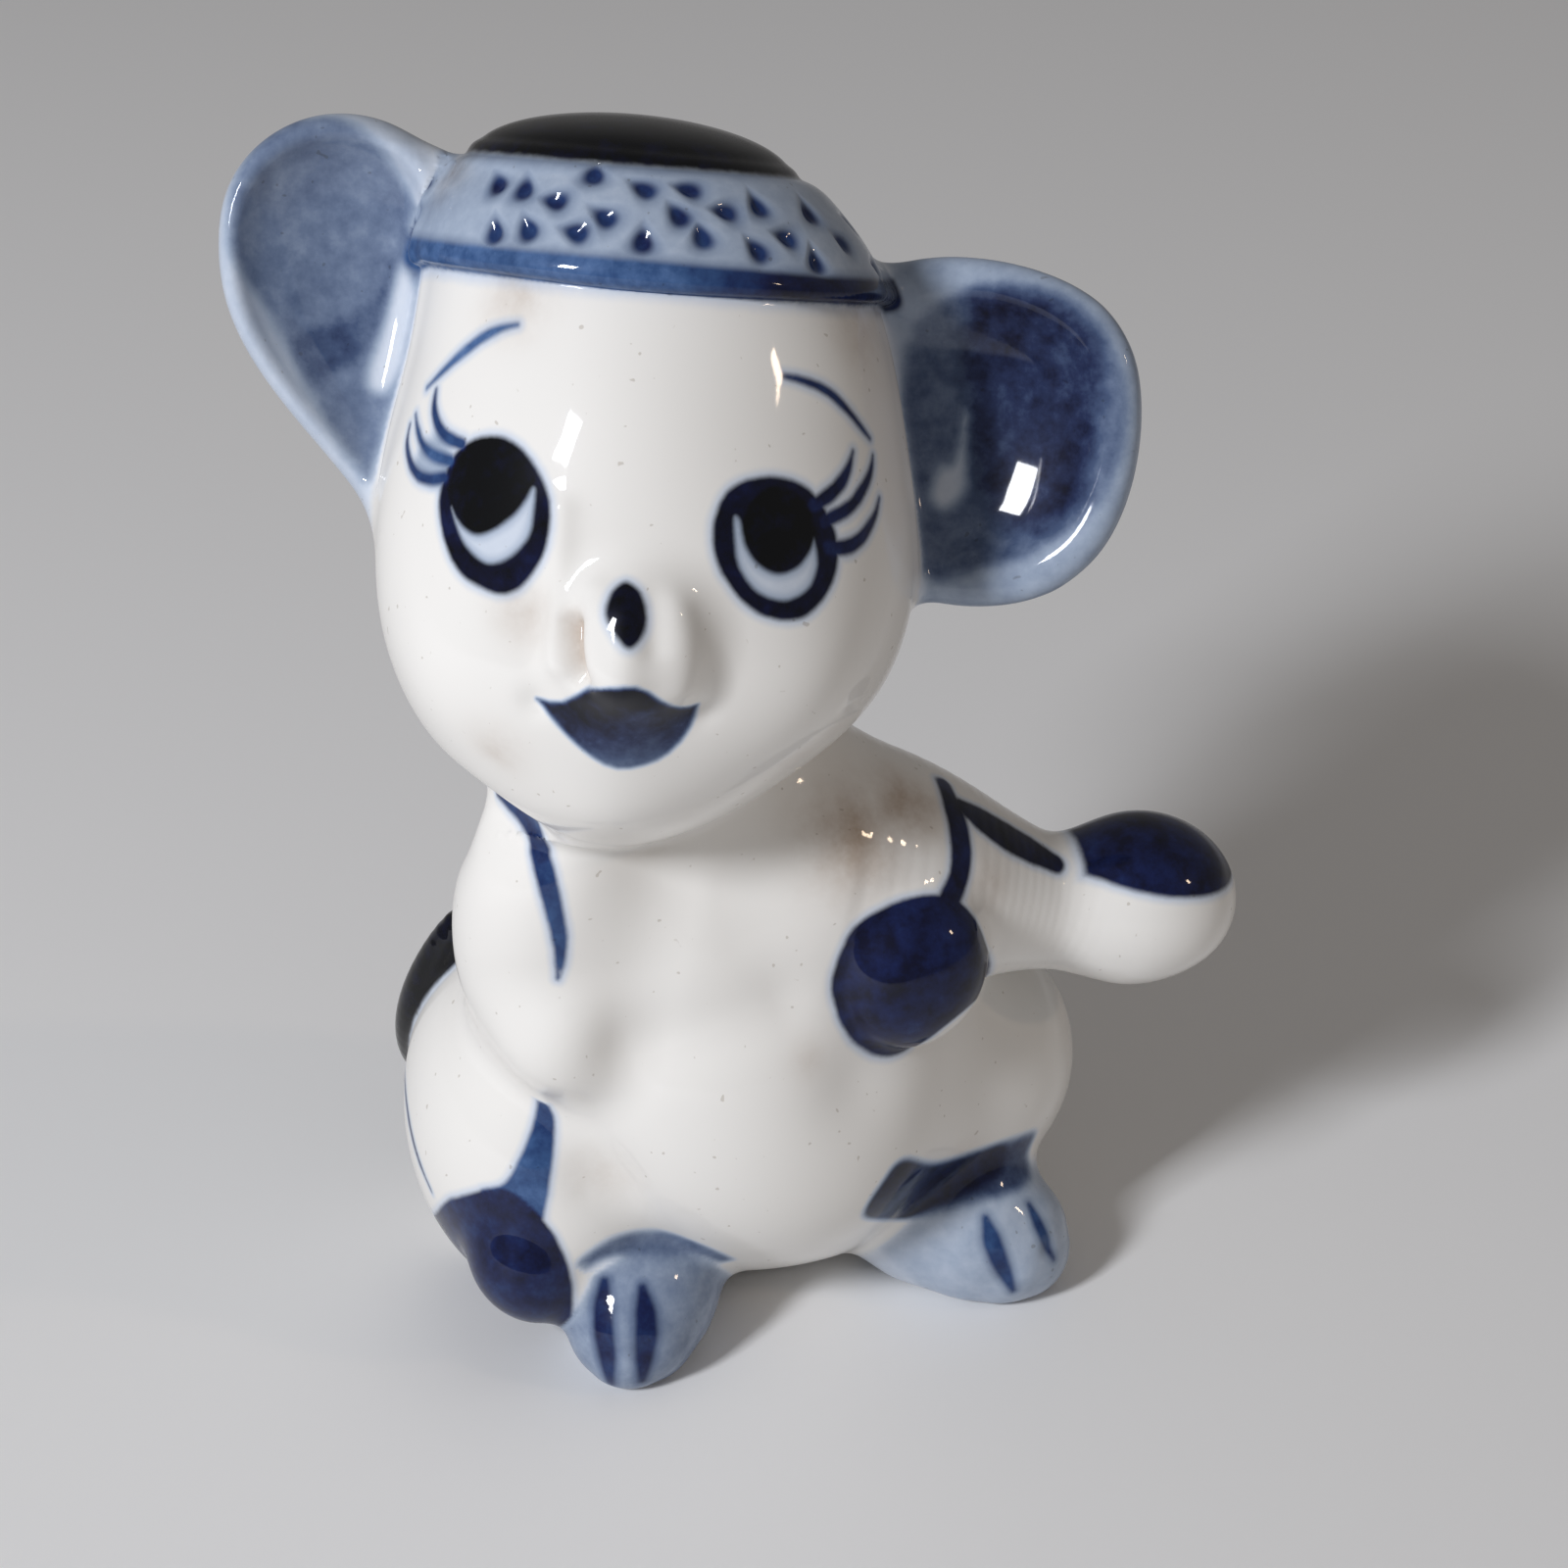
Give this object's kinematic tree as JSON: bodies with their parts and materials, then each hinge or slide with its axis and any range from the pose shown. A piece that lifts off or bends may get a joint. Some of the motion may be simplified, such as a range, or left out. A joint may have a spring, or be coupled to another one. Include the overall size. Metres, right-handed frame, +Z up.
{
  "type": "mouse figurine",
  "caption": "Small seated mouse figurine in glazed porcelain: cupped ears, dotted headband with a low crown, one arm folded and one held out, curled tail, painted in cobalt blue.",
  "frame": {"origin": "on the flat seat of the torso, in the plane of the surface the figurine stands on", "axes": "+Z up, -Y the way the body faces, -X the mouse's own right side"},
  "size_m": [0.0453, 0.03, 0.0613],
  "materials": {
    "white_glaze": "clear gloss glaze over warm white porcelain",
    "blue_wash_glaze": "clear gloss glaze over a thin cobalt wash",
    "cobalt_glaze": "clear gloss glaze over dense cobalt"
  },
  "bodies": {
    "root": {"torso_shell": "white_glaze", "head_shell": "white_glaze", "muzzle": "white_glaze", "head_band": "blue_wash_glaze", "crown": "cobalt_glaze", "right_ear": "blue_wash_glaze", "left_ear": "blue_wash_glaze", "right_haunch": "white_glaze", "left_haunch": "white_glaze", "right_foot": "blue_wash_glaze", "left_foot": "blue_wash_glaze", "right_heel": "cobalt_glaze", "right_arm": "white_glaze", "left_arm": "white_glaze", "left_elbow": "cobalt_glaze", "left_hand": "white_glaze", "tail": "cobalt_glaze"}
  },
  "joints": []
}
